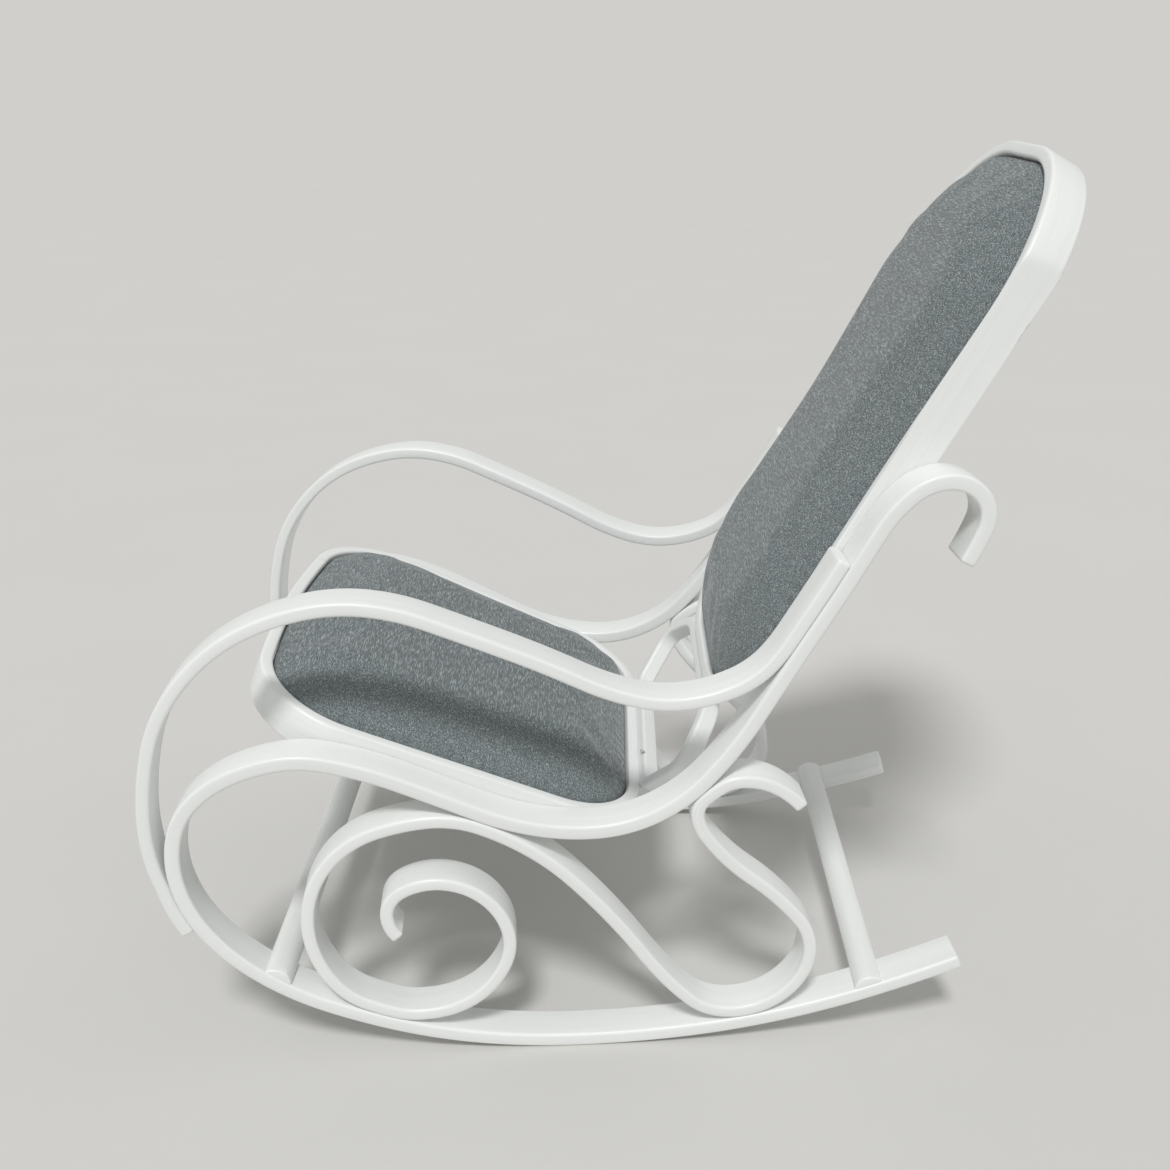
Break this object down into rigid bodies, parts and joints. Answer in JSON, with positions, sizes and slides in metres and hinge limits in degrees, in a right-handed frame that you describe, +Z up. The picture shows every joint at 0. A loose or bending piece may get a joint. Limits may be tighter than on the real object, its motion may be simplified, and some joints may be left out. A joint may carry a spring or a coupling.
{
  "type": "bentwood rocking chair",
  "caption": "White bentwood rocking chair with scrolled sides and an upholstered grey seat and back in bent rings.",
  "frame": {"origin": "middle of the box at floor level, just ahead of the rockers' contact line", "axes": "+Z up, the chair faces -Y, +X to the sitter's left"},
  "size_m": [0.5832, 0.9095, 0.9253],
  "materials": {
    "paint": "satin white paint, brushed, on laminated wood",
    "fabric": "heathered grey woven cloth",
    "foam": "upholstery foam",
    "plywood": "raw plywood",
    "bare_wood": "raw wood",
    "screws": "zinc plated"
  },
  "bodies": {
    "root": {"arm_left": "paint", "arm_right": "paint", "arm_screws": "screws", "back_cleats": "bare_wood", "back_cover": "fabric", "back_foam": "foam", "back_frame": "paint", "back_frame_screws": "screws", "back_panel": "plywood", "back_panel_screws": "screws", "front_stretcher": "paint", "rear_stretcher": "paint", "scroll_left": "paint", "scroll_right": "paint", "scroll_screws": "screws", "seat_cleats": "bare_wood", "seat_cover": "fabric", "seat_foam": "foam", "seat_frame": "paint", "seat_frame_screws": "screws", "seat_panel": "plywood", "seat_panel_screws": "screws", "side_rail_left": "paint", "side_rail_right": "paint", "stretcher_screws": "screws", "tie_ring": "paint", "tie_screws": "screws"}
  },
  "joints": []
}
